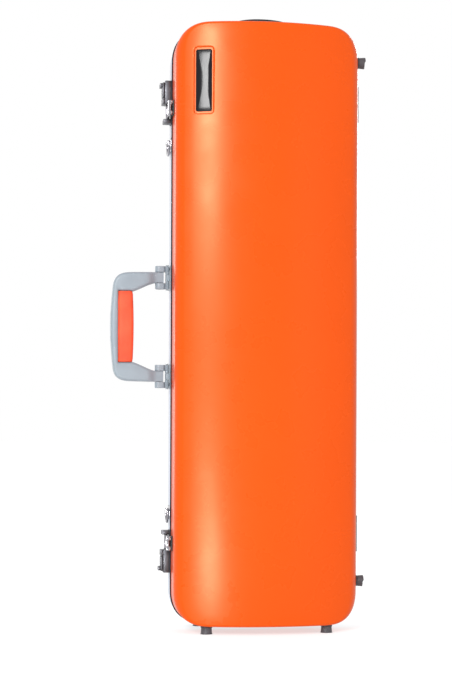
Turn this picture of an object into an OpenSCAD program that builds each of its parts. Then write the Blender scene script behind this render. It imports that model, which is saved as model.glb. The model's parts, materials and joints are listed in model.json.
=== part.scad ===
// Oblong hard-shell violin case, standing on its end feet.
// Frame: +Z runs up the case, the lid faces -Y, the handle side is -X and the hinge side is +X.
// Sub-parts are drawn in the case's own coordinates, where x = 0 is the middle of the width,
// y = 0 is the seam and z = 0 is the lower end face. place() then moves them to the row frame.

/* [Case] */
// Length of the body between its two end faces
case_l = 780; // [740:1:820]
// Width of the body across the side walls
case_w = 242; // [236:1:260]
// Depth of the lid from the seam to its crown
lid_d = 67; // [64:1:75]
// Depth of the lower shell from the seam to its back
base_d = 67; // [64:1:75]
// Rise of the lid's arch over the width
lid_rise = 26; // [20:1:30]
// Rise of the back's arch over the width
base_rise = 10; // [6:1:16]
// How far the body's rounded corners reach along each side
corner_r = 46; // [36:1:60]
// Thickness of the sandwich shell
shell_t = 5; // [4:0.5:6]

/* [Rim] */
// Thickness of the rubber seal on the lower shell's rim
seal_t = 3; // [2:0.5:4]
// How far the seal stands proud of the side walls
seal_proud = 1.2; // [0.6:0.1:1.6]
// Height of the alignment tongue above the seam
tongue_h = 8; // [4:1:9]

/* [Handle] */
// Overall length of the carrying handle
handle_l = 145; // [135:1:155]
// How far the handle stands out from the side wall
handle_out = 80; // [74:1:90]
// Width of the handle frame front to back
handle_t = 20; // [16:1:24]
// Distance of the handle's middle plane behind the seam
handle_y = 18; // [16:1:22]

/* [Fittings] */
// Distance of each latch's middle from the middle of the case
latch_off = 298; // [280:1:310]
// Height of the upper hinge's middle
hinge_top = 690; // [640:1:700]
// Height of the lower hinge's middle
hinge_low = 116; // [90:1:140]
// Height of the upper strap eye
eye_top = 635; // [560:1:640]
// Height of the lower strap eye
eye_low = 147; // [145:1:220]
// Height of the rubber feet
foot_h = 10; // [8:1:12]
// Height of the upper carrying strap above the end face
top_handle_h = 23; // [20:1:30]

/* [Violin bed] */
// Length of the violin body that the bed takes
violin_body_l = 356; // [350:1:360]
// Width of the lower bout
lower_bout = 208; // [200:1:210]
// Width of the upper bout
upper_bout = 168; // [160:1:170]
// Clearance between the violin and the foam
bed_gap = 4; // [2:1:5]
// Thickness of the foam under the violin
bed_floor_t = 8; // [6:1:10]

/* [Hidden] */
$fn = 48;
cut = 1;                    // how far a cutting body passes the face that it cuts
free = 0.3;                 // gap between pieces that move past each other
running = 0.05;             // radial clearance of a pin in its bore
half_w = case_w / 2;
mid_z = case_l / 2;
corner_n = 2.5;             // exponent of the superelliptic corners
corner_steps = 8;
lid_edge_r = 12;            // rounding between the lid's side wall and its arch
base_edge_r = 18;           // rounding between the back's side wall and its arch
place_x = (handle_out - foot_h) / 2;
place_y = (lid_d - base_d) / 2;

// Hinge line
hinge_x = half_w + 5;
hinge_y = 1.35;
hinge_barrel_r = 3;
hinge_pin_r = 1.25;
hinge_l = 48;
knuckle_l = 10;
leaf_t = 1.8;
leaf_d = 22;
rivet_off = 14;             // distance of the leaf's rivets from the leaf's inner edge
rivet_pitch = 16;

// Latch, seen from the side wall: x runs outwards as negative, z along the case
latch_y = 14;               // hasp axis behind the seam
latch_x = -5.5;
latch_half = 29;            // from the latch's middle to the foot of its plate
latch_top = 27;             // and to the free end of its housing
housing_h = 9.5;
hasp_pin_r = 1.2;
hasp_z = [-22.9, -3.7];
hasp_arm = 5.5;
hasp_front = -20;           // free end of the hasp, in front of the seam
hook_back = hasp_front + 4.7;
keeper_y = [hasp_front - 2, -6];
slider_travel = 3.6;

// Handle bracket
bracket_off = handle_l / 2 - 7;
arm_h = 14;                 // height of the frame's arms at the brackets
axis_a = 4.6;               // shackle axis, out from the wall
axis_b = 15.3;              // arm axis, out from the wall
bracket_t = 1.5;            // thickness of the base plate
bracket_pin_r = 1.3;
arm_pin_r = 2;
lug_h = 8;
lug_r = 2.5;
ear_t = 8;
ear_r = 5.5;                // round end of an ear and of the arm's tongue
ear_neck = 5;               // width of an ear next to the base plate
arm_full_x = 24;            // where the arms reach their full width, out from the wall
grip_in = 49.5;             // inner face of the grip, out from the wall
grip_out = 69.5;
grip_l = 93;

// Strap eyes and rings
eye_y = 22;
ring_x = -3.6;
ring_wire = 1.5;
ring_half = 12;

// Feet
foot_r = 7.5;
end_foot_x = 79;
lid_foot_y = -44;
base_foot_y = 44;
lid_side_foot_y = -22;
base_side_foot_y = 30;
side_foot_z = [55, 740];

// Interior
lining_t = 6;
bed_top = 8;
bed_floor = base_d - shell_t - bed_floor_t;
body_z = 25;                // lower end of the violin body
neck_half = 32;
peg_half = 48;
peg_z = [520, 640];
box_z = [654, 762];
box_half = 103;

// Bow holders
bow_x = 45;
turn_z = 95;
turn_post_r = 3;
turn_t = 6;                 // thickness of the turning bar
turn_stand = 13;            // height of the bar's lower face above the seat
bow_base_r = 11;
band_z = [712, 742];

// Name plate, on the lid near the upper handle-side corner
plate_x = -86;
plate_z = case_l - 76;
recess = [24, 86];
recess_corner = 4;
plate_corner = 2.5;
plate = [20, 80];
recess_d = 2;

// ---------------------------------------------------------------- helpers

module place() translate([place_x, place_y, foot_h]) children();

// An X-Z outline extruded from y0 to y1
module along_y(y0, y1)
    translate([0, y1, 0]) rotate([90, 0, 0]) linear_extrude(y1 - y0) children();

// A Y-Z outline extruded from x0 to x1
module along_x(x0, x1)
    translate([x0, 0, 0]) rotate([90, 0, 90]) linear_extrude(x1 - x0) children();

module box(x, y, z)
    translate([x[0], y[0], z[0]]) cube([x[1] - x[0], y[1] - y[0], z[1] - z[0]]);

// A plate on a side wall, in the Y-Z plane, with round corners of radius r
module rounded(w, l, r) {
    square([w - 2 * r, l], center = true);
    square([w, l - 2 * r], center = true);
    for (i = [-1, 1], j = [-1, 1]) translate([i * (w / 2 - r), j * (l / 2 - r)]) circle(r);
}

function signed_pow(v, e) = sign(v) * pow(abs(v), e);

function superellipse(a, b, n, from, to, steps) =
    [for (i = [0:steps]) let (t = from + (to - from) * i / steps)
        [a * signed_pow(cos(t), 2 / n), b * signed_pow(sin(t), 2 / n)]];

function shifted(points, v) = [for (p = points) p + v];

// The body's X-Z outline, moved inwards by inset
function outline(inset) = let (
        r = corner_r - inset,
        x = half_w - corner_r,
        z0 = corner_r,
        z1 = case_l - corner_r)
    [for (q = [[x, z1, 0], [-x, z1, 90], [-x, z0, 180], [x, z0, 270]])
        for (p = superellipse(r, r, corner_n, q[2], q[2] + 90, corner_steps)) p + [q[0], q[1]]];

function arch_radius(rise) = (half_w * half_w + rise * rise) / (2 * rise);

// Depth of a shell's inside or outside face at x, for a shell of depth d
function arch_depth(x, d, rise, inset) =
    let (r = arch_radius(rise)) d - r + sqrt(pow(r - inset, 2) - x * x);

// Half of a shell's X-depth profile, from the rim to the crown, as arcs
function half_profile(d, rise, edge_r, inset) = let (
        r = arch_radius(rise),
        x = half_w - edge_r,
        y = d - r + sqrt(pow(r - edge_r, 2) - x * x),
        turn = atan2(x, y - d + r))
    concat(
        [for (i = [0:6]) let (t = (90 - turn) * i / 6)
            [x + (edge_r - inset) * cos(t), y + (edge_r - inset) * sin(t)]],
        [for (i = [1:10]) let (t = turn * (1 - i / 10))
            [(r - inset) * sin(t), d - r + (r - inset) * cos(t)]]);

function reversed_mirror(points) =
    [for (i = [len(points) - 2:-1:0]) [-points[i][0], points[i][1]]];

// A shell's outer body, or its inside when inset, from depth start to its crown
module block(d, rise, edge_r, inset, start) {
    half = half_profile(d, rise, edge_r, inset);
    intersection() {
        along_y(start, d + cut) polygon(outline(inset));
        linear_extrude(case_l) polygon(concat(
            [[half_w - inset, start]], half, reversed_mirror(half), [[-half_w + inset, start]]));
    }
}

module base_block(inset, start) block(base_d, base_rise, base_edge_r, inset, start);
module lid_block(inset, start)
    mirror([0, 1, 0]) block(lid_d, lid_rise, lid_edge_r, inset, start);

// A ring round the rim, between two insets of the outline
module rim_ring(outer, inner, y0, y1) difference() {
    along_y(y0, y1) polygon(outline(outer));
    along_y(y0 - cut, y1 + cut) polygon(outline(inner));
}

module on_handle_side(z) translate([-half_w, 0, z]) children();
module mirrored_if(lower) if (lower) mirror([0, 0, 1]) children(); else children();
module at_latch(side) on_handle_side(mid_z + (side == "upper" ? 1 : -1) * latch_off)
    mirrored_if(side == "lower") children();
module at_hinge(side) translate([0, 0, side == "upper" ? hinge_top : hinge_low]) children();
module at_eye(side) on_handle_side(side == "upper" ? eye_top : eye_low) children();
module at_bracket(side) on_handle_side(mid_z + (side == "upper" ? 1 : -1) * bracket_off)
    translate([0, handle_y, 0]) mirrored_if(side == "lower") children();

// ---------------------------------------------------------------- shells and rim

module base_shell() place() color("white") difference() {
    base_block(0, seal_t);
    base_block(shell_t, seal_t - cut);
}

module lid_shell() place() color("orangered") difference() {
    lid_block(0, free);
    lid_block(shell_t, free - cut);
    difference() {
        translate([plate_x, 0, plate_z]) along_y(-lid_d - cut, -lid_d / 2) 
            rounded(recess[0], recess[1], recess_corner);
        lid_block(recess_d, 0);
    }
}

module name_plate() place() color("black") intersection() {
    translate([plate_x, 0, plate_z]) along_y(-lid_d - cut, -lid_d / 2) 
        rounded(plate[0], plate[1], plate_corner);
    difference() {
        lid_block(recess_d - 1.6, 0);
        lid_block(recess_d, -cut);
    }
}

module rim_seal() place() color("black") rim_ring(-seal_proud, shell_t, 0, seal_t);

// The tongue stands in the lower shell's rim and guides the closing lid
module rim_tongue() place() color("dimgray")
    rim_ring(shell_t + 1, shell_t + 3, -tongue_h, bed_top);

// ---------------------------------------------------------------- hinges

module knuckle(z0, z1, side) difference() {
    union() {
        translate([hinge_x, hinge_y, z0]) cylinder(h = z1 - z0, r = hinge_barrel_r);
        box([half_w + leaf_t - 0.2, hinge_x],
            side > 0 ? [hinge_y, hinge_y + hinge_barrel_r] : [hinge_y - hinge_barrel_r, hinge_y],
            [z0, z1]);
    }
    translate([hinge_x, hinge_y, z0 - cut]) cylinder(h = z1 - z0 + 2 * cut, r = hinge_pin_r + running);
}

module hinge_base_leaf(side) place() color("darkslategray") at_hinge(side) {
    box([half_w, half_w + leaf_t], [seal_t, seal_t + leaf_d], [-hinge_l / 2, hinge_l / 2]);
    for (i = [-1, 1])
        knuckle(i > 0 ? hinge_l / 2 - knuckle_l : -hinge_l / 2,
                i > 0 ? hinge_l / 2 : -hinge_l / 2 + knuckle_l, 1);
}

module hinge_lid_leaf(side) place() color("darkslategray") at_hinge(side) {
    middle = hinge_l / 2 - knuckle_l - free;
    box([half_w, half_w + leaf_t], [-leaf_d, -free], [-hinge_l / 2, hinge_l / 2]);
    knuckle(-middle, middle, -1);
}

module hinge_pin(side) place() color("silver") at_hinge(side) translate([hinge_x, hinge_y, 0]) {
    cylinder(h = hinge_l, r = hinge_pin_r, center = true);
    for (i = [-1, 1]) translate([0, 0, i * (hinge_l / 2 + 0.5)])
        cylinder(h = 1, r = 2, center = true);
}

// ---------------------------------------------------------------- latches

module latch_housing(side) place() color("gray") at_latch(side) difference() {
    union() {
        box([-1.5, 0], [3.5, 27], [-latch_half, latch_top]);
        box([-housing_h, -1], [5, 27], [-3.3, latch_top]);
        box([-11.5, -1], [7, 22], [-latch_half, -23.3]);
    }
    // slot that the slider's stem runs in
    box([-housing_h - cut, -3.5], [13, 19], [7, 25]);
    translate([latch_x, latch_y, -latch_half - cut]) cylinder(h = 34, r = hasp_pin_r);
}

module latch_cover(side) place() color("dimgray") at_latch(side)
    box([-12.9, -housing_h], [7, 25], [-3.3, 4.8]);

module latch_slider(side) place() color("darkgray") at_latch(side) {
    box([-12.6, -housing_h - free], [8, 24], [5.8, 25]);
    box([-housing_h - cut, -5], [13 + free, 19 - free], [8, 20]);
    box([-15.9, -12], [10, 22], [19, 24.4]);
}

module latch_hasp(side) place() color("lightgray") at_latch(side) difference() {
    union() {
        translate([latch_x, latch_y, hasp_z[0]]) cylinder(h = hasp_z[1] - hasp_z[0], r = 2.5);
        for (z = [hasp_z[0], hasp_z[1] - hasp_arm])
            box([-6.8, -4.6], [hasp_front, latch_y], [z, z + hasp_arm]);
        box([-6.8, -2.1], [hasp_front, hook_back], hasp_z);
    }
    translate([latch_x, latch_y, hasp_z[0] - cut]) cylinder(h = 22, r = hasp_pin_r + running);
}

module latch_pin(side) place() color("silver") at_latch(side)
    translate([latch_x, latch_y, -latch_half]) cylinder(h = 33, r = hasp_pin_r);

module latch_keeper(side) place() color("gray") at_latch(side) {
    box([-1.3, 0], keeper_y, hasp_z);
    box([-4.1, -1], [hook_back + 0.7, -9], [-16.8, -9.8]);
}

// ---------------------------------------------------------------- strap eyes and rings

module strap_eye(side) place() color("silver") at_eye(side) difference() {
    union() {
        translate([0, eye_y, -3]) along_x(-1.2, 0) rounded(20, 18, 3);
        translate([ring_x, eye_y - 7, 0]) rotate([-90, 0, 0]) cylinder(h = 14, r = 2.7);
    }
    translate([ring_x, eye_y - 9, 0]) rotate([-90, 0, 0]) cylinder(h = 18, r = ring_wire + running);
}

module strap_ring(side) place() color("silver") at_eye(side) translate([ring_x, eye_y, 0]) {
    translate([0, -ring_half, 0]) rotate([-90, 0, 0]) cylinder(h = 2 * ring_half, r = ring_wire);
    for (i = [-1, 1]) translate([0, i * ring_half, 0]) {
        sphere(r = ring_wire);
        translate([0, 0, -4]) cylinder(h = 4, r = ring_wire);
    }
    translate([0, 0, -4]) rotate([0, 90, 0]) rotate([0, 0, -90])
        rotate_extrude(angle = 180) translate([ring_half, 0]) circle(r = ring_wire);
}

// ---------------------------------------------------------------- carrying handle

module handle_base(side) place() color("lightsteelblue") at_bracket(side) difference() {
    union() {
        along_x(-bracket_t, 0) rounded(22, 33, 4);
        translate([-axis_a, 0, -lug_h / 2]) cylinder(h = lug_h, r = lug_r);
        box([-axis_a, -bracket_t + 0.5], [-lug_r, lug_r], [-lug_h / 2, lug_h / 2]);
    }
    translate([-axis_a, 0, -lug_h]) cylinder(h = 2 * lug_h, r = bracket_pin_r);
}

// Two ears joined by short barrels on the base's pin
module handle_shackle(side) place() color("silver") at_bracket(side) difference() {
    union() for (i = [0, 1]) mirror([0, 0, i]) {
        translate([0, 0, arm_h / 2 + free]) linear_extrude(ear_t) {
            translate([-axis_a, 0]) circle(lug_r);
            translate([-axis_a - ear_r - 1, -ear_neck / 2]) square([ear_r + 1, ear_neck]);
            translate([-axis_b, -ear_r]) square([axis_b - axis_a - ear_r, 2 * ear_r]);
            translate([-axis_b, 0]) circle(ear_r);
        }
        translate([-axis_a, 0, lug_h / 2 + free])
            cylinder(h = arm_h / 2 - lug_h / 2 + 1, r = lug_r);
    }
    translate([-axis_a, 0, -handle_t]) cylinder(h = 2 * handle_t, r = bracket_pin_r + running);
    translate([-axis_b, 0, -handle_t]) cylinder(h = 2 * handle_t, r = arm_pin_r + running);
}

pin_end = arm_h / 2 + free + ear_t;     // outer face of an ear, from the bracket's middle

module handle_base_pins() place() color("silver") for (s = ["upper", "lower"]) at_bracket(s) {
    translate([-axis_a, 0, -pin_end - 0.7]) cylinder(h = 2 * (pin_end + 0.7), r = bracket_pin_r);
    for (i = [-1, 1]) translate([-axis_a, 0, i * (pin_end + 1.1)])
        cylinder(h = 0.8, r = 2.1, center = true);
}

module handle_arm_pins() place() color("silver") for (s = ["upper", "lower"]) at_bracket(s)
    translate([-axis_b, 0, -pin_end]) cylinder(h = 2 * pin_end, r = arm_pin_r);

// The frame in the X-Z plane, with x out from the wall
module handle_outline() {
    end = axis_b - ear_r;
    top = handle_l / 2;
    r = 14;
    inner = top - arm_h;
    difference() {
        union() {
            translate([end, -top]) square([handle_out - r - end, 2 * top]);
            translate([handle_out - r - 1, -top + r]) square([r + 1, 2 * (top - r)]);
            for (i = [-1, 1]) translate([handle_out - r, i * (top - r)]) circle(r);
        }
        polygon([[end - cut, -inner], [20, -inner], [grip_in, -grip_l / 2], [grip_out, -grip_l / 2],
                 [grip_out, grip_l / 2], [grip_in, grip_l / 2], [20, inner], [end - cut, inner]]);
    }
}

// Seen along the case, the arms end in round tongues between the shackle's ears
module handle_frame() place() color("lightsteelblue") translate([0, handle_y, 0])
    on_handle_side(mid_z) difference() {
        intersection() {
            mirror([1, 0, 0]) along_y(-handle_t / 2, handle_t / 2) handle_outline();
            translate([0, 0, -handle_l]) linear_extrude(2 * handle_l) {
                translate([-axis_b, 0]) circle(ear_r);
                translate([-arm_full_x - 1, -ear_r]) square([arm_full_x + 1 - axis_b, 2 * ear_r]);
                translate([-handle_out, -handle_t / 2]) square([handle_out - arm_full_x, handle_t]);
            }
        }
        for (i = [-1, 1]) translate([-axis_b, 0, i * bracket_off - handle_t])
            cylinder(h = 2 * handle_t, r = arm_pin_r);
    }

module handle_grip() place() color("orangered") on_handle_side(mid_z)
    box([-grip_out, -grip_in], [handle_y - handle_t / 2 - 1, handle_y + handle_t / 2 + 1],
        [-grip_l / 2, grip_l / 2]);

// ---------------------------------------------------------------- end carrying strap

top_handle_y = 24;
top_handle_w = 24;
top_handle_half = 56;
top_handle_t = 5;
top_handle_n = 2.2;
top_plate_t = 4;

module top_handle_arch(inset)
    polygon(superellipse(top_handle_half - 1.4 * inset, top_handle_h - inset, top_handle_n, 0, 180, 32));

module top_handle() place() color("black") translate([0, 0, case_l]) intersection() {
    along_y(top_handle_y - top_handle_w / 2, top_handle_y + top_handle_w / 2) difference() {
        top_handle_arch(0);
        top_handle_arch(top_handle_t);
    }
    box([-half_w, half_w], [0, base_d], [top_plate_t, 2 * top_handle_h]);
}

module top_handle_plates() place() color("dimgray") translate([0, 0, case_l])
    for (i = [-1, 1]) translate([i * (top_handle_half - 0.7 * top_handle_t), top_handle_y, 0])
        linear_extrude(top_plate_t) rounded(20, 28, 5);

// ---------------------------------------------------------------- feet, screws and rivets

// A tapered foot standing on z = 0 and pointing up, with a hole for its screw head
module foot() difference() {
    cylinder(h = foot_h, r1 = foot_r, r2 = foot_r - 0.8);
    translate([0, 0, foot_h - 4]) cylinder(h = 5, r = 3);
}
module foot_screw() translate([0, 0, foot_h - 4]) cylinder(h = 2.4, r = 2.8);

module at_end_feet(y) for (i = [-1, 1]) translate([i * end_foot_x, y, 0]) mirror([0, 0, 1]) children();
module at_side_feet(y) for (z = side_foot_z) translate([half_w, y, z]) rotate([0, 90, 0]) children();

module lid_end_feet() place() color("black") at_end_feet(lid_foot_y) foot();
module base_end_feet() place() color("black") at_end_feet(base_foot_y) foot();
module lid_side_feet() place() color("black") at_side_feet(lid_side_foot_y) foot();
module base_side_feet() place() color("black") at_side_feet(base_side_foot_y) foot();
module lid_foot_screws() place() color("silver") {
    at_end_feet(lid_foot_y) foot_screw();
    at_side_feet(lid_side_foot_y) foot_screw();
}
module base_foot_screws() place() color("silver") {
    at_end_feet(base_foot_y) foot_screw();
    at_side_feet(base_side_foot_y) foot_screw();
}

module rivet() cylinder(h = 0.9, r1 = 2.4, r2 = 1.6);

// Rivet heads stand on the hinge leaves and on the keepers or the strap eyes
module hinge_rivets(y) for (s = ["upper", "lower"]) at_hinge(s)
    for (z = [-rivet_pitch, 0, rivet_pitch])
        translate([half_w + leaf_t, y, z]) rotate([0, 90, 0]) rivet();

module lid_rivets() place() color("gray") {
    hinge_rivets(-rivet_off);
    for (s = ["upper", "lower"]) at_latch(s)
        for (z = [-20, -6.6]) translate([-1.3, keeper_y[1] - 3, z]) rotate([0, -90, 0]) rivet();
}

module base_rivets() place() color("gray") {
    hinge_rivets(seal_t + rivet_off);
    for (s = ["upper", "lower"]) at_eye(s)
        for (i = [-1, 1]) translate([-1.2, eye_y + i * 6, -8]) rotate([0, -90, 0]) rivet();
    for (s = ["upper", "lower"]) at_bracket(s)
        for (i = [-1, 1]) translate([-bracket_t, i * 7.5, 11]) rotate([0, -90, 0]) rivet();
}

// ---------------------------------------------------------------- violin bed

lower_r = lower_bout / 2 + bed_gap;
upper_r = upper_bout / 2 + bed_gap;
lower_z = body_z + lower_bout / 2;
upper_z = body_z + violin_body_l - upper_bout / 2;

module violin_pocket() {
    translate([0, lower_z]) circle(lower_r, $fn = 96);
    translate([0, upper_z]) circle(upper_r, $fn = 96);
    translate([-72, lower_z]) square([144, upper_z - lower_z]);
    translate([-neck_half, upper_z]) square([2 * neck_half, peg_z[1] - 10 - upper_z]);
    translate([0, (peg_z[0] + peg_z[1]) / 2]) rounded(2 * peg_half, peg_z[1] - peg_z[0], 16);
}

module bed_foam() place() color("dimgray") difference() {
    base_block(shell_t, bed_top);
    along_y(0, bed_floor) violin_pocket();
    along_y(0, bed_floor) translate([0, (box_z[0] + box_z[1]) / 2])
        rounded(2 * box_half, box_z[1] - box_z[0], 10);
}

pad_t = 12;

module bout_pad_lower() place() color("black")
    box([-60, 60], [bed_floor - pad_t, bed_floor], [60, 105]);

module bout_pad_upper() place() color("black")
    box([-50, 50], [bed_floor - pad_t, bed_floor], [320, 360]);

// A saddle in the neck channel, with a round seat for the neck
module neck_cradle() place() color("black") difference() {
    box([-neck_half, neck_half], [14, bed_floor], [455, 495]);
    translate([0, 8, 450]) cylinder(h = 50, r = 20);
}

module neck_strap() place() color("black")
    box([-62, 62], [bed_top - 2.5, bed_top], [465, 487]);

module accessory_pouch() place() color("black") translate([0, 0, (box_z[0] + box_z[1]) / 2])
    along_y(13, bed_floor) rounded(2 * box_half - 6, box_z[1] - box_z[0] - 6, 14);

// ---------------------------------------------------------------- lid lining and bow holders

seat_d = arch_depth(bow_x - bow_base_r, lid_d, lid_rise, shell_t + lining_t);
turn_y = -seat_d + turn_stand;

// A round column at a bow holder, from depth d0 to depth d1 below the seam
module bow_column(i, d0, d1, r)
    translate([i * bow_x, -d0, turn_z]) rotate([90, 0, 0]) cylinder(h = d1 - d0, r = r);

module lid_lining() place() color("dimgray") difference() {
    lid_block(shell_t, tongue_h + 4);
    lid_block(shell_t + lining_t, tongue_h);
    for (i = [-1, 1]) bow_column(i, tongue_h, seat_d, bow_base_r);
}

function lining_y(x, gap) = -arch_depth(x, lid_d, lid_rise, shell_t + lining_t + gap);

module bow_base(i) place() color("black") difference() {
    bow_column(i, turn_t - turn_y + free, seat_d, bow_base_r);
    bow_column(i, 0, turn_t - turn_y + 3, turn_post_r + running);
}

module bow_turn(i) place() color("black") translate([i * bow_x, 0, turn_z]) {
    along_y(turn_y - turn_t, turn_y) rounded(13, 42, turn_t);
    translate([0, turn_y - turn_t + 1, 0]) rotate([90, 0, 0]) cylinder(h = 3.5, r = turn_post_r);
}

// A cloth band across the lid, sewn down at its ends and in the middle, for the bow tips
band_half = 86;
band_gap = 9;
band_foot_gap = 0.3;        // keeps the sewn feet clear of the lining's facets
module bow_tip_band() place() color("black")
    translate([0, 0, band_z[0]]) linear_extrude(band_z[1] - band_z[0]) {
        polygon(concat(
            [for (i = [-8:8]) let (x = band_half * i / 8) [x, lining_y(x, band_gap)]],
            [for (i = [8:-1:-8]) let (x = band_half * i / 8) [x, lining_y(x, band_gap + 2)]]));
        for (c = [-band_half + 5, 0, band_half - 5])
            polygon([for (p = [[-5, 0], [0, 0], [5, 0], [5, 1], [0, 1], [-5, 1]])
                [c + p[0], lining_y(c + p[0], band_foot_gap + p[1] * band_gap)]]);
    }

// ---------------------------------------------------------------- nodes

base_shell();
lid_shell();
rim_seal();
rim_tongue();
name_plate();
for (s = ["upper", "lower"]) {
    hinge_base_leaf(s);
    hinge_lid_leaf(s);
    hinge_pin(s);
    latch_housing(s);
    latch_cover(s);
    latch_slider(s);
    latch_hasp(s);
    latch_pin(s);
    latch_keeper(s);
    strap_eye(s);
    strap_ring(s);
    handle_base(s);
    handle_shackle(s);
}
handle_base_pins();
handle_arm_pins();
handle_frame();
handle_grip();
top_handle();
top_handle_plates();
lid_end_feet();
lid_side_feet();
base_end_feet();
base_side_feet();
lid_foot_screws();
base_foot_screws();
lid_rivets();
base_rivets();
bed_foam();
bout_pad_lower();
bout_pad_upper();
neck_cradle();
neck_strap();
accessory_pouch();
lid_lining();
bow_tip_band();
bow_base(-1);  // bow_left_base
bow_turn(-1);  // bow_left_turn
bow_base(1);  // bow_right_base
bow_turn(1);  // bow_right_turn
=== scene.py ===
"""Oblong hard-shell violin case: its looks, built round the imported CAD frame.

Lengths are in metres. The case's own coordinates (x from the middle of its width, y from the
seam, z from the lower end face) are moved into the row frame by at().
"""
import json
import math

import bmesh
import bpy
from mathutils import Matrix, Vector
from mathutils.bvhtree import BVHTree


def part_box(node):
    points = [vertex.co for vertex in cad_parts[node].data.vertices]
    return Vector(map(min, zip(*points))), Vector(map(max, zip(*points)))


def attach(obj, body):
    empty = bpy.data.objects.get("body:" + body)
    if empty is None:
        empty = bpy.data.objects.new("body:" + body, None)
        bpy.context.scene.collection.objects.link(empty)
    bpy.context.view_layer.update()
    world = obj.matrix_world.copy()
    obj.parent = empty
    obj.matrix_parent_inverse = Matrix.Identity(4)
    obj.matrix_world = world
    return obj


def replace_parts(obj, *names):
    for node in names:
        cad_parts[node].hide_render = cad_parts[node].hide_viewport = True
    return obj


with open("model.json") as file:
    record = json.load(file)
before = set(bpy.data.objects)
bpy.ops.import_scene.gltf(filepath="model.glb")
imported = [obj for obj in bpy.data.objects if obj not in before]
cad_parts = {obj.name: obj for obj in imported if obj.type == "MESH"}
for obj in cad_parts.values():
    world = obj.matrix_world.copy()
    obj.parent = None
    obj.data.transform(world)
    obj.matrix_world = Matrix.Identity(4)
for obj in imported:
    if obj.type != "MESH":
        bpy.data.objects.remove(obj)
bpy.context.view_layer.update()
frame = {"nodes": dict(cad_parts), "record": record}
MM = 0.001
WELD_DISTANCE = 0.002 * MM

# ------------------------------------------------------------------ sizes, from the frame
BASE_LO, BASE_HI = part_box("base_shell")
LID_LO, LID_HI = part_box("lid_shell")
SEAL_LO, SEAL_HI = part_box("rim_seal")
HALF_W = (BASE_HI.x - BASE_LO.x) / 2
CASE_L = BASE_HI.z - BASE_LO.z
MID_X = (BASE_HI.x + BASE_LO.x) / 2
LID_D, BASE_D = -LID_LO.y, BASE_HI.y
SEAL_T = BASE_LO.y
LID_START = -LID_HI.y
SHELL_T = 5 * MM
CORNER_R = 46 * MM
CORNER_N = 2.5
LID_RISE, BASE_RISE = 26 * MM, 10 * MM
LINING_T, LINING_START = 6 * MM, 12 * MM


def at(x, y, z):
    """A point of the case's own coordinates, in the row frame."""
    return Vector((MID_X + x, y, BASE_LO.z + z))


# ------------------------------------------------------------------ materials
def socket(bsdf, name, value):
    bsdf.inputs[name].default_value = (*value, 1) if isinstance(value, tuple) and len(value) == 3 else value


def material(name, color, roughness, metallic=0.0, **sockets):
    mat = bpy.data.materials.new(name)
    mat.use_nodes = True
    bsdf = mat.node_tree.nodes["Principled BSDF"]
    socket(bsdf, "Base Color", color)
    socket(bsdf, "Roughness", roughness)
    socket(bsdf, "Metallic", metallic)
    for key, value in sockets.items():
        socket(bsdf, key.replace("_", " ").title().replace("Ior", "IOR"), value)
    mat.diffuse_color = (*color, 1)
    return mat


def node(mat, kind, **values):
    made = mat.node_tree.nodes.new(kind)
    for key, value in values.items():
        if hasattr(made, key):
            setattr(made, key, value)
        else:
            made.inputs[key.replace("_", " ")].default_value = value
    return made


def link(mat, a, b):
    mat.node_tree.links.new(a, b)


def placed(mat, stretch=(1, 1, 1), turn=(0, 0, 0)):
    """Object coordinates, which are row-frame metres, stretched or turned."""
    coords = node(mat, "ShaderNodeTexCoord")
    mapping = node(mat, "ShaderNodeMapping")
    mapping.inputs["Scale"].default_value = stretch
    mapping.inputs["Rotation"].default_value = turn
    link(mat, coords.outputs["Object"], mapping.inputs["Vector"])
    return mapping.outputs["Vector"]


def noise(mat, scale, detail=3.0, stretch=(1, 1, 1), roughness=0.55):
    made = node(mat, "ShaderNodeTexNoise", Scale=scale, Detail=detail, Roughness=roughness)
    link(mat, placed(mat, stretch), made.inputs["Vector"])
    return made.outputs["Fac"]


def remap(mat, value, low, high, from_low=0.3, from_high=0.7):
    made = node(mat, "ShaderNodeMapRange")
    for key, number in (("From Min", from_low), ("From Max", from_high), ("To Min", low), ("To Max", high)):
        made.inputs[key].default_value = number
    link(mat, value, made.inputs["Value"])
    return made.outputs["Result"]


def mixed(mat, fac, a, b):
    made = node(mat, "ShaderNodeMix", data_type="RGBA")
    made.inputs[6].default_value, made.inputs[7].default_value = (*a, 1), (*b, 1)
    link(mat, fac, made.inputs[0])
    return made.outputs[2]


def math_node(mat, operation, a, b=None):
    made = node(mat, "ShaderNodeMath", operation=operation)
    for value, taken in zip((a, b), made.inputs):
        if isinstance(value, (int, float)):
            taken.default_value = value
        elif value is not None:
            link(mat, value, taken)
    return made.outputs[0]


def to_shader(mat, name, value):
    link(mat, value, mat.node_tree.nodes["Principled BSDF"].inputs[name])


def bump(mat, height, strength, distance):
    made = node(mat, "ShaderNodeBump", Strength=strength, Distance=distance)
    link(mat, height, made.inputs["Height"])
    to_shader(mat, "Normal", made.outputs["Normal"])


def mottled(mat, texture, color, other):
    to_shader(mat, "Base Color", mixed(mat, remap(mat, texture, 0.0, 1.0), color, other))


def uneven_gloss(mat, texture, roughness, spread):
    to_shader(mat, "Roughness", remap(mat, texture, roughness - spread, roughness + spread))


def shell_plastic(name, color, deeper, roughness, specular, tint=(1.0, 1.0, 1.0)):
    """Satin polymer skin: faint orange peel, tinted gloss and slight tone variation."""
    mat = material(name, color, roughness, specular_ior_level=specular, specular_tint=tint)
    mottled(mat, noise(mat, 5.0), color, deeper)
    uneven_gloss(mat, noise(mat, 22.0, 4.0), roughness, 0.03)
    bump(mat, noise(mat, 900.0, 2.0), 0.05, 0.0002)
    return mat


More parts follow.
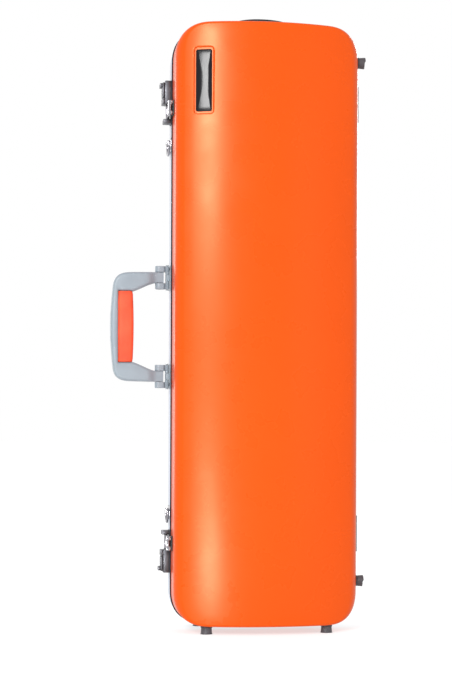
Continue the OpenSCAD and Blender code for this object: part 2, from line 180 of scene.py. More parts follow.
def rubber(name, color, roughness=0.6, grain=1400.0, strength=0.25, specular=0.35):
    mat = material(name, color, roughness, specular_ior_level=specular)
    lighter = tuple(min(1.0, c * 1.35 + 0.004) for c in color)
    mottled(mat, noise(mat, 60.0), color, lighter)
    uneven_gloss(mat, noise(mat, 90.0), roughness, 0.08)
    bump(mat, noise(mat, grain, 2.0), strength, 0.0003)
    return mat


def metal(name, color, roughness, stretch=(1, 1, 1), strength=0.08):
    """Metal with fine drawn or polished lines along the stretched axis."""
    mat = material(name, color, roughness, metallic=1.0)
    lines = noise(mat, 700.0, 3.0, stretch)
    to_shader(mat, "Roughness", remap(mat, lines, roughness * 0.75, roughness * 1.3))
    duller = tuple(c * 0.88 for c in color)
    mottled(mat, noise(mat, 120.0), color, duller)
    bump(mat, lines, strength, 0.0001)
    return mat


def painted(name, color, roughness, speckle=1800.0, specular=0.45):
    """Fine powder coat or satin moulded plastic."""
    mat = material(name, color, roughness, specular_ior_level=specular)
    tone = tuple(c * 0.9 for c in color)
    mottled(mat, noise(mat, 45.0), color, tone)
    uneven_gloss(mat, noise(mat, 200.0), roughness, 0.06)
    bump(mat, noise(mat, speckle, 2.0), 0.12, 0.0002)
    return mat


def velvet(name, color, lighter):
    """Short pile: mottled nap, sheen and fibre grain."""
    mat = material(name, color, 0.9, sheen_weight=0.6, sheen_roughness=0.35,
                   sheen_tint=(0.75, 0.75, 0.8), specular_ior_level=0.1)
    nap = remap(mat, noise(mat, 38.0, 5.0, (1.0, 1.0, 0.6)), 0.0, 1.0, 0.35, 0.65)
    to_shader(mat, "Base Color", mixed(mat, nap, color, lighter))
    bump(mat, noise(mat, 2600.0, 3.0, (1.0, 1.0, 0.5)), 0.6, 0.0004)
    return mat


def woven(name, color, lighter, pitch, turn=(0, 0, 0)):
    """Plain weave: warp and weft cross at a pitch in metres."""
    mat = material(name, color, 0.85, sheen_weight=0.25, sheen_roughness=0.5, specular_ior_level=0.2)
    split = node(mat, "ShaderNodeSeparateXYZ")
    turns = math.pi / pitch
    link(mat, placed(mat, (turns, turns, turns), turn), split.inputs[0])
    warp = math_node(mat, "SINE", math_node(mat, "ADD", split.outputs[0], split.outputs[1]))
    weft = math_node(mat, "SINE", split.outputs[2])
    cross = math_node(mat, "MULTIPLY", warp, weft)
    thread = remap(mat, cross, 0.0, 1.0, -1.0, 1.0)
    to_shader(mat, "Base Color", mixed(mat, thread, color, lighter))
    bump(mat, thread, 0.7, 0.0004)
    return mat


FINISHES = {
    "shell_white": shell_plastic("white_shell", (0.52, 0.55, 0.61), (0.50, 0.53, 0.60), 0.34, 0.06),
    "shell_orange": shell_plastic("orange_shell", (0.60, 0.060, 0.0002), (0.58, 0.057, 0.0002), 0.28, 0.34,
                                  (1.0, 0.82, 0.48)),
    "seal_rubber": rubber("seal_rubber", (0.008, 0.009, 0.014), 0.8, specular=0.08),
    "trim_plastic": painted("trim_plastic", (0.02, 0.02, 0.022), 0.5),
    "plate_gloss": shell_plastic("plate_gloss", (0.006, 0.006, 0.008), (0.009, 0.009, 0.011), 0.1, 0.14),
    "hinge_steel": painted("hinge_steel", (0.012, 0.012, 0.016), 0.45, specular=0.08),
    "pin_steel": metal("pin_steel", (0.32, 0.34, 0.36), 0.32, (0.1, 0.1, 1.0)),
    "latch_steel": metal("latch_steel", (0.105, 0.105, 0.115), 0.36, (1.0, 1.0, 0.05)),
    "latch_chrome": metal("latch_chrome", (0.36, 0.35, 0.37), 0.13, (1.0, 1.0, 0.2), 0.03),
    "handle_grey": painted("handle_grey", (0.235, 0.275, 0.31), 0.38),
    "grip_rubber": rubber("grip_rubber", (0.62, 0.055, 0.016), 0.6, 2200.0, 0.35),
    "strap_rubber": rubber("strap_rubber", (0.012, 0.012, 0.014), 0.45),
    "foot_rubber": rubber("foot_rubber", (0.045, 0.040, 0.045), 0.5),
    "lining_velvet": velvet("lining_velvet", (0.050, 0.051, 0.057), (0.066, 0.068, 0.075)),
    "pad_velvet": velvet("pad_velvet", (0.064, 0.065, 0.072), (0.088, 0.089, 0.097)),
    "webbing": woven("webbing", (0.010, 0.010, 0.012), (0.05, 0.05, 0.055), 1.6 * MM),
    "pouch_cloth": woven("pouch_cloth", (0.030, 0.030, 0.034), (0.075, 0.075, 0.08), 1.1 * MM),
    "bow_plastic": painted("bow_plastic", (0.015, 0.015, 0.017), 0.3),
}
THREAD = painted("sewing_thread", (0.20, 0.20, 0.22), 0.6)
SLOT = {s["node"]: s["material_slot"] for s in frame["record"]["subparts"]}
BODY = {n: b for b, members in frame["record"]["behaviour"]["bodies"].items() for n in members}

for name, cad_object in frame["nodes"].items():
    cad_object.data.materials.clear()
    cad_object.data.materials.append(FINISHES[SLOT[name]])


# ------------------------------------------------------------------ mesh helpers
def in_scene(name, data):
    made = bpy.data.objects.new(name, data)
    bpy.context.scene.collection.objects.link(made)
    return made


def baked(source):
    """The mesh that an object becomes under its modifiers."""
    dg = bpy.context.evaluated_depsgraph_get()
    return bpy.data.meshes.new_from_object(source.evaluated_get(dg))


def face_outwards(mesh, weld=False):
    bm = bmesh.new()
    bm.from_mesh(mesh)
    if weld:
        bmesh.ops.remove_doubles(bm, verts=bm.verts, dist=WELD_DISTANCE)
    bmesh.ops.recalc_face_normals(bm, faces=bm.faces)
    bm.to_mesh(mesh)
    bm.free()


def piece(name, body, slot, verts, faces, sharp=35.0):
    """A shown mesh that rides on a body and takes a material slot's finish."""
    mesh = bpy.data.meshes.new(name)
    mesh.from_pydata([tuple(v) for v in verts], [], faces)
    return finished(name, body, slot, mesh, sharp)


def finished(name, body, slot, mesh, sharp=35.0, weld=True):
    """Welds a mesh unless it is a group of overlapping solids, and makes a riding piece of it."""
    if weld:
        face_outwards(mesh, weld=True)
    mesh.materials.clear()
    mesh.materials.append(FINISHES[slot])
    for p in mesh.polygons:
        p.use_smooth = True
    mesh.set_sharp_from_angle(angle=math.radians(sharp))
    made = in_scene(name, mesh)
    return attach(made, body)


def grid_faces(rows, cols, closed_cols=True, closed_rows=False, caps=False):
    """Quads over a grid of vertices stored row after row, and a face on each end row if capped."""
    faces = []
    for r in range(rows if closed_rows else rows - 1):
        for c in range(cols if closed_cols else cols - 1):
            r1, c1 = (r + 1) % rows, (c + 1) % cols
            faces.append((r * cols + c, r * cols + c1, r1 * cols + c1, r1 * cols + c))
    if caps:
        faces += [tuple(range(cols)), tuple((rows - 1) * cols + c for c in reversed(range(cols)))]
    return faces


def skin_over(name, body, slot, loops, sharp, **closing):
    """A piece whose surface runs over loops with the same number of points."""
    return piece(name, body, slot, [p for loop in loops for p in loop],
                 grid_faces(len(loops), len(loops[0]), **closing), sharp)


# ------------------------------------------------------------------ the shells
CORNER_STEPS, SIDE_STEPS, END_STEPS = 14, 18, 12
FILLET_STEPS, TOP_STEPS = 7, 9
FILLET_START, FILLET_WEIGHT = 0.95, 0.75
LID_EDGE = (12 * MM, 3.5 * MM)        # fillets where the arch meets the sides and the ends
BASE_EDGE = (18 * MM, 5 * MM)
INNER_END_EDGE = 1.5 * MM


def outline(inset):
    """Points (x, z) round the body, moved inwards by inset, with each point's outward normal."""
    r = CORNER_R - inset
    x0 = HALF_W - CORNER_R
    z0 = CORNER_R
    z1 = CASE_L - CORNER_R
    points = []
    centres = [(x0, z1), (-x0, z1), (-x0, z0), (x0, z0)]
    for q, (cx, cz) in enumerate(centres):
        for i in range(CORNER_STEPS + 1):
            t = math.radians(90 * (q + i / CORNER_STEPS))
            c, s = math.cos(t), math.sin(t)
            x = math.copysign(abs(c) ** (2 / CORNER_N), c)
            z = math.copysign(abs(s) ** (2 / CORNER_N), s)
            nx = math.copysign(abs(x) ** (CORNER_N - 1), x)
            nz = math.copysign(abs(z) ** (CORNER_N - 1), z)
            points.append((cx + r * x, cz + r * z, nx / math.hypot(nx, nz), nz / math.hypot(nx, nz)))
        steps = SIDE_STEPS if q % 2 else END_STEPS
        nxt = centres[(q + 1) % 4]
        t = math.radians(90 * (q + 1))
        nx, nz = round(math.cos(t)), round(math.sin(t))
        for i in range(1, steps):
            k = i / steps
            points.append((cx + (nxt[0] - cx) * k + r * nx, cz + (nxt[1] - cz) * k + r * nz, nx, nz))
    return points


def arch_radius(rise):
    return (HALF_W ** 2 + rise ** 2) / (2 * rise)


def arch_depth(x, depth, rise, inset=0.0):
    r = arch_radius(rise)
    return depth - r + math.sqrt((r - inset) ** 2 - x * x)


def conic(a, corner, b, weight, steps):
    """Points of a round fillet from a to b, tangent to the lines that meet at corner."""
    out = []
    for i in range(steps + 1):
        t = i / steps
        wa, wc, wb = (1 - t) ** 2, 2 * weight * t * (1 - t), t * t
        w = wa + wc + wb
        out.append(tuple((wa * p + wc * q + wb * s) / w for p, q, s in zip(a, corner, b)))
    return out


def shell_rings(depth, rise, start, inset, side_r, end_r, sign):
    """Rings of a shell's skin from the rim over the edge to its middle line, as row-frame points."""
    columns = []
    for x, z, nx, nz in outline(inset):
        end = nz * nz
        r = side_r * (1 - end) + end_r * end
        inner_x, inner_z = x - nx * r, z - nz * r
        wall_y = arch_depth(x, depth, rise, inset)
        a = (x, wall_y - r * FILLET_START, z)
        corner = (x, wall_y, z)
        b = (inner_x, arch_depth(inner_x, depth, rise, inset), inner_z)
        column = [(x, start, z), (x, start + (a[1] - start) * 0.5, z)]
        column += conic(a, corner, b, FILLET_WEIGHT, FILLET_STEPS)
        qz = min(max(inner_z, HALF_W), CASE_L - HALF_W)
        for i in range(1, TOP_STEPS + 1):
            k = i / TOP_STEPS
            px = inner_x * (1 - k)
            column.append((px, arch_depth(px, depth, rise, inset), inner_z + (qz - inner_z) * k))
        columns.append([at(p[0], sign * p[1], p[2]) for p in column])
    return [list(ring) for ring in zip(*columns)]


def shell(name, body, slot, cad, depth, rise, start, edge, sign):
    """A closed shell: outer skin, rim and inner skin."""
    outer = shell_rings(depth, rise, start, 0.0, *edge, sign)
    inner = shell_rings(depth, rise, start, SHELL_T, edge[0] - SHELL_T, INNER_END_EDGE, sign)
    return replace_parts(skin_over(name, body, slot, outer[::-1] + inner, 35.0), cad)


def rounded_rect(w, l, r, steps=6):
    """Points (x, z) round a rectangle with round corners, centred on 0."""
    points = []
    for q, (sx, sz) in enumerate(((1, 1), (-1, 1), (-1, -1), (1, -1))):
        for i in range(steps + 1):
            t = math.radians(90 * (q + i / steps))
            points.append((sx * (w / 2 - r) + r * math.cos(t), sz * (l / 2 - r) + r * math.sin(t)))
    return points


PLATE_LO, PLATE_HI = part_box("name_plate")
PLATE_X = (PLATE_LO.x + PLATE_HI.x) / 2 - MID_X
PLATE_Z = (PLATE_LO.z + PLATE_HI.z) / 2 - BASE_LO.z
PLATE_W, PLATE_L = PLATE_HI.x - PLATE_LO.x, PLATE_HI.z - PLATE_LO.z
RECESS_GAP, RECESS_L_GAP, RECESS_D = 2 * MM, 3 * MM, 2 * MM
PLATE_CORNER, RECESS_CORNER = 2.5 * MM, 4 * MM
RIM_BORDER, RIM_SHARP = 2.3 * MM, 28
RIM_REACH = (PLATE_W / 2 + RECESS_GAP + RIM_BORDER, 0, PLATE_L / 2 + RECESS_L_GAP + RIM_BORDER)


def recess_cutter():
    """A tray that flares out at the lid's surface, cut from the lid for its name plate."""
    # millimetres below the arch, and millimetres of growth past the recess
    levels = [(2.0, -0.5), (1.75, -0.15), (1.4, 0.0), (0.8, 0.05), (0.5, 0.25), (0.25, 0.6),
              (0.05, 1.1), (-0.6, 2.4)]
    verts, count = [], 0
    for down, grow in levels:
        ring = rounded_rect(PLATE_W + 2 * (RECESS_GAP + grow * MM), PLATE_L + 2 * (RECESS_L_GAP + grow * MM),
                            RECESS_CORNER + grow * MM, 8)
        count = len(ring)
        for x, z in ring:
            px = PLATE_X + x
            verts.append(at(px, -(arch_depth(px, LID_D, LID_RISE) - down * MM), PLATE_Z + z))
    faces = grid_faces(len(levels), count)
    # the floor follows the arch: rows of quads across it, from side to side
    for i in range(count // 2 - 1):
        faces.append((i, count - 1 - i, count - 2 - i, i + 1))
    last = (len(levels) - 1) * count
    faces.append(tuple(range(last, last + count)))
    mesh = bpy.data.meshes.new("recess_cutter")
    mesh.from_pydata([tuple(v) for v in verts], [], faces)
    face_outwards(mesh)
    return in_scene("recess_cutter", mesh)


def frame_recess(mesh):
    """Edge loops close round the recess, so that its rim shades only a narrow border."""
    bm = bmesh.new()
    bm.from_mesh(mesh)
    for axis in (0, 2):
        for side in (-1, 1):
            normal, point = Vector((0, 0, 0)), at(PLATE_X, 0, PLATE_Z)
            normal[axis] = 1
            point[axis] += side * RIM_REACH[axis]
            bmesh.ops.bisect_plane(bm, geom=bm.verts[:] + bm.edges[:] + bm.faces[:], plane_co=point,
                                   plane_no=normal)
    bm.to_mesh(mesh)
    bm.free()


def past_rim(point):
    """Whether a point lies on the arch's outer skin, at or past the border round the recess."""
    off = point - at(PLATE_X, 0, PLATE_Z)
    on_arch = -point.y > arch_depth(point.x - MID_X, LID_D, LID_RISE) - 0.5 * MM
    return on_arch and any(abs(off[i]) > RIM_REACH[i] - 0.05 * MM for i in (0, 2))


def lid():
    """The lid with its recess. Past the recess's rim, the arch shades as it did before the cut."""
    made = shell("lid_outer_shell", "lid", "shell_orange", "lid_shell", LID_D, LID_RISE, LID_START,
                 LID_EDGE, -1)
    plain = in_scene("plain_lid", made.data.copy())
    frame_recess(made.data)
    cutter = recess_cutter()
    cut = made.modifiers.new("recess", "BOOLEAN")
    cut.operation, cut.solver, cut.object = "DIFFERENCE", "EXACT", cutter
    mesh = baked(made)
    made.modifiers.clear()
    made.data = mesh
    mesh.set_sharp_from_angle(angle=math.radians(RIM_SHARP))
    weigh = made.modifiers.new("even_normals", "WEIGHTED_NORMAL")
    weigh.keep_sharp, weigh.weight = True, 100
    outside = made.vertex_groups.new(name="outside_rim")
    outside.add([v.index for v in mesh.vertices if past_rim(v.co)], 1.0, "REPLACE")
    same = made.modifiers.new("plain_normals", "DATA_TRANSFER")
    same.object, same.use_loop_data, same.vertex_group = plain, True, outside.name
    same.data_types_loops, same.loop_mapping = {"CUSTOM_NORMAL"}, "POLYINTERP_NEAREST"
    shaded = baked(made)
    made.modifiers.clear()
    made.data = shaded
    for spare in (cutter, plain):
        bpy.data.objects.remove(spare)


def base():
    shell("base_outer_shell", "base", "shell_white", "base_shell", BASE_D, BASE_RISE, SEAL_T, BASE_EDGE, 1)


def bead(name, body, slot, cad, profile):
    """A strip round the rim: profile is a loop of (inset, y) points."""
    rings = [[at(x, y, z) for x, z, *_ in outline(inset)] for inset, y in profile]
    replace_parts(skin_over(name, body, slot, rings, 50.0, closed_rows=True), cad)


def seal():
    """A round-faced rubber seal with a flat flange between the rims."""
    proud = (SEAL_HI.x - SEAL_LO.x) / 2 - HALF_W
    mid, r = SEAL_T / 2, SEAL_T / 2
    nose = [(0.3 * MM - (proud + 0.5 * MM) * math.cos(t), mid + r * math.sin(t))
            for t in (math.radians(a) for a in range(-90, 91, 18))]
    bead("rim_seal_bead", "base", "seal_rubber", "rim_seal", [(SHELL_T, 0.0)] + nose + [(SHELL_T, SEAL_T)])


def name_plate():
    """A blank, slightly domed gloss plate in the lid's recess."""
    rings, loops = 7, []
    thick, dome = 1.6, 0.9      # millimetres at the middle, and what the edge loses
    top = [(k, thick - dome * k ** 5) for k in [1 - (i / rings) ** 2 for i in range(rings + 1)]]
    for scale, up in [(1.0, 0.0)] + top:
        loop = []
        for x, z in rounded_rect(PLATE_W, PLATE_L, PLATE_CORNER, 6):
            px = PLATE_X + x * scale
            loop.append(at(px, -(arch_depth(px, LID_D, LID_RISE) - RECESS_D + up * MM), PLATE_Z + z * scale))
        loops.append(loop)
    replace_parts(skin_over("name_plate_blank", "lid", "plate_gloss", loops, 35.0), "name_plate")


# ------------------------------------------------------------------ the carrying handle
FRAME_LO, FRAME_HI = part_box("handle_frame")
WALL_X = BASE_LO.x
HANDLE_OUT = WALL_X - FRAME_LO.x
HANDLE_Y = (FRAME_LO.y + FRAME_HI.y) / 2
HANDLE_Z = (FRAME_LO.z + FRAME_HI.z) / 2
HANDLE_HALF = (FRAME_HI.z - FRAME_LO.z) / 2
TONGUE_H = WALL_X - FRAME_HI.x
GRIP_LO, GRIP_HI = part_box("handle_grip")
GRIP_IN, GRIP_OUT = WALL_X - GRIP_HI.x, WALL_X - GRIP_LO.x
GRIP_HALF = (GRIP_HI.z - GRIP_LO.z) / 2


def handle_point(h, y, z):
    """h is out from the wall, z from the handle's middle."""
    return Vector((WALL_X - h, HANDLE_Y + y, HANDLE_Z + z))


def rounded_section(a, b, half_t, r, steps=5):
    """A loop in the plane of a-b and Y: a rounded rectangle between the (h, z) points a and b."""
    along = math.dist(a, b)
    r = min(r, along / 2 * 0.98, half_t * 0.98)
    u = ((b[0] - a[0]) / along, (b[1] - a[1]) / along)
    loop = []
    for q, (s, t) in enumerate(((1, 1), (0, 1), (0, -1), (1, -1))):
        for i in range(steps + 1):
            ang = math.radians(90 * (q + i / steps))
            d = (along - r if s else r) + r * math.cos(ang)
            y = (half_t - r) * t + r * math.sin(ang)
            loop.append(handle_point(a[0] + u[0] * d, y, a[1] + u[1] * d))
    return loop


def even_steps(half, steps):
    return [-half + 2 * half * i / steps for i in range(steps + 1)]


def smooth(t):
    t = min(max(t, 0.0), 1.0)
    return t * t * (3 - 2 * t)


def loft(name, body, slot, cad, loops, sharp=50.0):
    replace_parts(skin_over(name, body, slot, loops, sharp, caps=True), cad)


def spline(points, steps):
    """A Catmull-Rom curve through points, with that many steps a span."""
    ext = [points[0]] + list(points) + [points[-1]]
    out = []
    for i in range(1, len(ext) - 2):
        p0, p1, p2, p3 = ext[i - 1:i + 3]
        for j in range(steps):
            t = j / steps
            out.append(tuple(0.5 * (2 * b + (c - a) * t + (2 * a - 5 * b + 4 * c - d) * t * t
                                    + (3 * b - a - 3 * c + d) * t ** 3)
                             for a, b, c, d in zip(p0, p1, p2, p3)))
    return out + [points[-1]]


def handle_frame():
    """A rounded frame: arms that taper to tongues, a soft corner and a bowed outer bar."""
    top, out = HANDLE_HALF / MM, HANDLE_OUT / MM
    tongue, low = TONGUE_H / MM, HANDLE_HALF / MM - 14
    g_in, g_out, g_half = GRIP_IN / MM, GRIP_OUT / MM, GRIP_HALF / MM
    # pairs of inner and outer edge points (h, z) in millimetres, from the upper arm to the middle
    half = [
        ((tongue, low), (tongue, top - 0.2)), ((14, low), (14, top - 0.1)), ((20, low - 0.1), (20, top)),
        ((29, low - 2.7), (29, top)), ((39, 51.3), (39, top - 0.2)), ((g_in, g_half + 0.6), (50, top - 0.4)),
        ((55, g_half + 0.3), (58, top - 0.8)), ((60, g_half + 0.3), (66, top - 2.6)),
        ((65, g_half + 0.3), (72.3, top - 7)), ((g_out, g_half + 0.3), (75.8, top - 14)),
        ((g_out, 41), (77.0, 50)), ((g_out, 32), (78.4, 36)), ((g_out, 16), (out - 0.4, 18)),
        ((g_out, 0), (out, 0)),
    ]
    inner = spline([p[0] for p in half], 3)
    outer = spline([p[1] for p in half], 3)
    pairs = list(zip(inner, outer))
    pairs += [((a[0], -a[1]), (b[0], -b[1])) for a, b in reversed(pairs[:-1])]
    loops = []
    for a, b in pairs:
        h = (a[0] + b[0]) / 2
        half_t = (5.4 + 4.6 * smooth((h - 20) / 11)) * MM
        round_r = (1.2 + 3.2 * smooth((h - 18) / 14)) * MM
        loops.append(rounded_section((a[0] * MM, a[1] * MM), (b[0] * MM, b[1] * MM), half_t, round_r))
    loft("handle_frame_moulding", "handle", "handle_grey", "handle_frame", loops)


def handle_grip():
    """The soft grip, bowed towards the case, with rounded ends."""
    half_t = (GRIP_HI.y - GRIP_LO.y) / 2 - 0.4 * MM
    loops = []
    for z in even_steps(GRIP_HALF, 26):
        k = z / GRIP_HALF
        pinch = max(0.0, abs(k) - 0.965) / 0.035
        a = (GRIP_IN + (1.2 - 1.3 * (1 - k * k) + 0.5 * pinch ** 2) * MM, z)
        b = (GRIP_OUT + 0.8 * MM, z)
        loops.append(rounded_section(a, b, half_t - 0.8 * MM * pinch ** 2, 4.5 * MM))
    loft("handle_grip_rubber", "handle", "grip_rubber", "handle_grip", loops, 60.0)


# ------------------------------------------------------------------ metal and plastic fittings
class Solids:
    """Rounded blocks and rods gathered into one mesh, drawn in millimetres from a local origin."""

    def __init__(self, origin, flip=False):
        self.origin, self.flip, self.bm = origin, flip, bmesh.new()

    def add(self, part, edge, segments):
        if edge:
            hard = [e for e in part.edges if e.calc_face_angle(0) > math.radians(50)]
            bmesh.ops.bevel(part, geom=hard, offset=edge, segments=segments, profile=0.5,
                            affect="EDGES", clamp_overlap=True)
        bmesh.ops.recalc_face_normals(part, faces=part.faces)
        mesh = bpy.data.meshes.new("part")
        part.to_mesh(mesh)
        self.bm.from_mesh(mesh)
        bpy.data.meshes.remove(mesh)
        part.free()

    def block(self, x, y, z, edge=0.4, segments=2):
        part = bmesh.new()
        bmesh.ops.create_cube(part, size=1)
        for v in part.verts:
            v.co = [lo + (hi - lo) * (c + 0.5) for c, (lo, hi) in zip(v.co, (x, y, z))]
        self.add(part, edge, segments)

    def rod(self, centre, axis, length, r, edge=0.3, steps=28, tip_r=None):
        """A rod along an axis, its near end at centre."""
        part = bmesh.new()
        bmesh.ops.create_cone(part, cap_ends=True, segments=steps, radius1=r,
                              radius2=r if tip_r is None else tip_r, depth=length)
        turn = Vector((0, 0, 1)).rotation_difference(Vector(axis)).to_matrix()
        for v in part.verts:
            v.co = turn @ (v.co + Vector((0, 0, length / 2))) + Vector(centre)
        self.add(part, edge, 2)

    def extrude(self, points, start, end, edge=0.4, segments=2, upright=True):
        """A closed loop of points, extruded along Z, or along Y if not upright."""
        part = bmesh.new()
        low, high = ([part.verts.new((a, b, level) if upright else (a, level, b)) for a, b in points]
                     for level in (start, end))
        part.faces.new(low[::-1])
        part.faces.new(high)
        for i in range(len(points)):
            j = (i + 1) % len(points)
            part.faces.new((low[i], low[j], high[j], high[i]))
        bmesh.ops.recalc_face_normals(part, faces=part.faces)
        self.add(part, edge, segments)

    def made(self, name, cad_name, slot=None, body=None, stands_for=True):
        mesh = bpy.data.meshes.new(name)
        sign = -1 if self.flip else 1
        for v in self.bm.verts:
            v.co = self.origin + Vector((v.co.x, v.co.y, sign * v.co.z)) * MM
        if self.flip:
            bmesh.ops.reverse_faces(self.bm, faces=self.bm.faces)
        self.bm.to_mesh(mesh)
        self.bm.free()
        piece_made = finished(name, body or BODY[cad_name], slot or SLOT[cad_name], mesh, 40.0, weld=False)
        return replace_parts(piece_made, cad_name) if stands_for else piece_made


def middle(name):
    lo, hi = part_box(name)
    return (lo + hi) / 2


LATCH_HALF, LATCH_TOP = 29, 27      # from a latch's middle to its two ends, in millimetres
HASP_FOOT, HASP_HEAD, HASP_ARM = -22.9, -3.7, 5.5


def latch(side):
    """A spring latch: housing, thumb slide, cover, and a hasp that hooks the lid's keeper."""
    pin_lo, pin_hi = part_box(f"latch_{side}_pin")
    flip = side == "lower"
    middle_z = pin_hi.z - LATCH_HALF * MM if flip else pin_lo.z + LATCH_HALF * MM
    origin = Vector((BASE_LO.x, 0, middle_z))
    name = f"latch_{side}_"
    axis_x, axis_y = (pin_lo.x + pin_hi.x) / 2 / MM - BASE_LO.x / MM, (pin_lo.y + pin_hi.y) / 2 / MM
    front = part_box(name + "hasp")[0].y / MM
    keeper_lo, keeper_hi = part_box(name + "keeper")
    band = (HASP_FOOT, HASP_HEAD)

    # in x out of the wall, y from the seam and z from the latch's middle
    housing = Solids(origin, flip)
    housing.block((-9.5, -0.2), (5, 9.4), (-3.3, LATCH_TOP), 0.7)
    housing.block((-9.5, -0.3), (11.0, 27), (-3.2, LATCH_TOP - 0.1), 0.7)
    housing.block((-7.6, -0.4), (9, 12), (-3.1, LATCH_TOP - 0.4), 0.2)
    housing.block((-11.5, -0.2), (7, 22), (-LATCH_HALF, -23.3), 0.8)
    housing.made(name + "housing_cast", name + "housing")
    plate = Solids(origin, flip)
    plate.block((-1.5, 0), (3.5, 27), (-LATCH_HALF, LATCH_TOP), 0.3)
    plate.made(name + "mounting_plate", name + "housing", "trim_plastic", stands_for=False)

    cover = Solids(origin, flip)
    cover.block((-12.9, -9.5), (7, 25), (-3.3, 4.8), 0.6)
    cover.made(name + "cover_cap", name + "cover")
    slide = Solids(origin, flip)
    slide.block((-12.6, -9.8), (8, 24), (5.8, 25), 0.5)
    slide.block((-15.9, -12), (10, 22), (19, 24.4), 0.7)
    for i in range(4):
        slide.block((-13.0, -12.2), (9.5, 22.5), (8 + 2.4 * i, 9.1 + 2.4 * i), 0.25)
    slide.block((-10.5, -5), (13.3, 18.7), (8, 20), 0)
    slide.made(name + "slider_thumb", name + "slider")

    hasp = Solids(origin, flip)
    hasp.rod((axis_x, axis_y, HASP_FOOT), (0, 0, 1), HASP_HEAD - HASP_FOOT, 2.5, 0.4)
    for z in (HASP_FOOT, HASP_HEAD - HASP_ARM):
        hasp.block((-6.8, -4.6), (front, axis_y), (z, z + HASP_ARM), 0.5)
        hasp.block((-8.3, -2.1), (front - 0.1, front + 4.2), (z + 0.05, z + HASP_ARM - 0.05), 0.6)
    hasp.block((-8.2, -4.2), (front, front + 4.6), (HASP_FOOT + 0.1, HASP_HEAD - 0.1), 0.6)
    hasp.made(name + "hasp_chrome", name + "hasp")

    keeper = Solids(origin, flip)
    keeper.block((-1.3, 0), (keeper_lo.y / MM, keeper_hi.y / MM), band, 0.3)
    keeper.block((-4.1, -1), (front + 5.4, -9), (-16.8, -9.8), 0.5)
    keeper.made(name + "keeper_hook", name + "keeper")


def strap_eye(side):
    """A stamped plate with a rolled barrel for its ring."""
    lo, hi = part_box(f"strap_{side}_eye")
    origin = Vector((BASE_LO.x, (lo.y + hi.y) / 2, (hi.z + lo.z) / 2 + 3 * MM))
    eye = Solids(origin)
    eye.block((-1.2, 0), (-10, 10), (-12, 6), 0.4)
    for y in (-7, 1.2):
        eye.rod((-3.6, y, 0), (0, 1, 0), 5.8, 2.7, 0.3)
    eye.made(f"strap_{side}_eye_stamping", f"strap_{side}_eye")


LEAF_HALF, LEAF_T, KNUCKLE_R, KNUCKLE_HALF = 24, 1.8, 3, 13.7


def hinge(side):
    """Two leaves with rolled knuckles on a pin."""
    centre = middle(f"hinge_{side}_pin")
    origin = Vector((BASE_HI.x, 0, centre.z))
    axis_x, axis_y = (centre.x - BASE_HI.x) / MM, centre.y / MM
    leaf = Solids(origin)
    leaf.block((0, LEAF_T), (3, 25), (-LEAF_HALF, LEAF_HALF), 0.35)
    for z in (-LEAF_HALF, LEAF_HALF - 10):
        leaf.rod((axis_x, axis_y, z), (0, 0, 1), 10, KNUCKLE_R, 0.3)
        leaf.block((LEAF_T - 0.2, axis_x), (axis_y, axis_y + KNUCKLE_R), (z, z + 10), 0.2)
    leaf.made(f"hinge_{side}_base_leaf_plate", f"hinge_{side}_base_leaf")
    leaf = Solids(origin)
    leaf.block((0, LEAF_T), (-22, -0.3), (-LEAF_HALF, LEAF_HALF), 0.35)
    leaf.rod((axis_x, axis_y, -KNUCKLE_HALF), (0, 0, 1), 2 * KNUCKLE_HALF, KNUCKLE_R, 0.3)
    leaf.block((LEAF_T - 0.2, axis_x), (axis_y - KNUCKLE_R, axis_y), (-KNUCKLE_HALF, KNUCKLE_HALF), 0.2)
    leaf.made(f"hinge_{side}_lid_leaf_plate", f"hinge_{side}_lid_leaf")


def arc(cx, cy, r, a0, a1, steps=14):
    return [(cx + r * math.cos(math.radians(a0 + (a1 - a0) * i / steps)),
             cy + r * math.sin(math.radians(a0 + (a1 - a0) * i / steps))) for i in range(steps + 1)]


WALL_PIN_X, ARM_PIN_X, WALL_PIN_BOSS = -4.6, -15.3, 2.5


def handle_bracket(side):
    """The moulded seat on the wall, and the shackle that turns in it."""
    origin = Vector((BASE_LO.x, HANDLE_Y, middle(f"handle_{side}_base").z))
    seat = Solids(origin)
    seat.block((-1.5, 0), (-11, 11), (-16.5, 16.5), 0.6, 3)
    seat.block((WALL_PIN_X, -1.0), (-WALL_PIN_BOSS, WALL_PIN_BOSS), (-4, 4), 0.3)
    seat.rod((WALL_PIN_X, 0, -4), (0, 0, 1), 8, WALL_PIN_BOSS, 0.3)
    seat.made(f"handle_{side}_seat", f"handle_{side}_base")
    shackle = Solids(origin)
    for sign in (-1, 1):
        z = sorted((sign * 7.3, sign * 15.3))
        ear = arc(ARM_PIN_X, 0, 5.5, 90, 270) + arc(-10.6, -2.9, 2.6, -90, -30, 5)
        ear += [(-7.6, -WALL_PIN_BOSS), (WALL_PIN_X, -WALL_PIN_BOSS)]
        ear += arc(WALL_PIN_X, 0, WALL_PIN_BOSS, -90, 90, 10)[1:] + [(-7.6, WALL_PIN_BOSS)]
        ear += arc(-10.6, 2.9, 2.6, 30, 90, 5)
        shackle.extrude(ear, z[0], z[1], 0.7)
        shackle.rod((WALL_PIN_X, 0, 4.3 if sign > 0 else -8), (0, 0, 1), 3.7, WALL_PIN_BOSS, 0.3)
    shackle.made(f"handle_{side}_shackle_cast", f"handle_{side}_shackle")


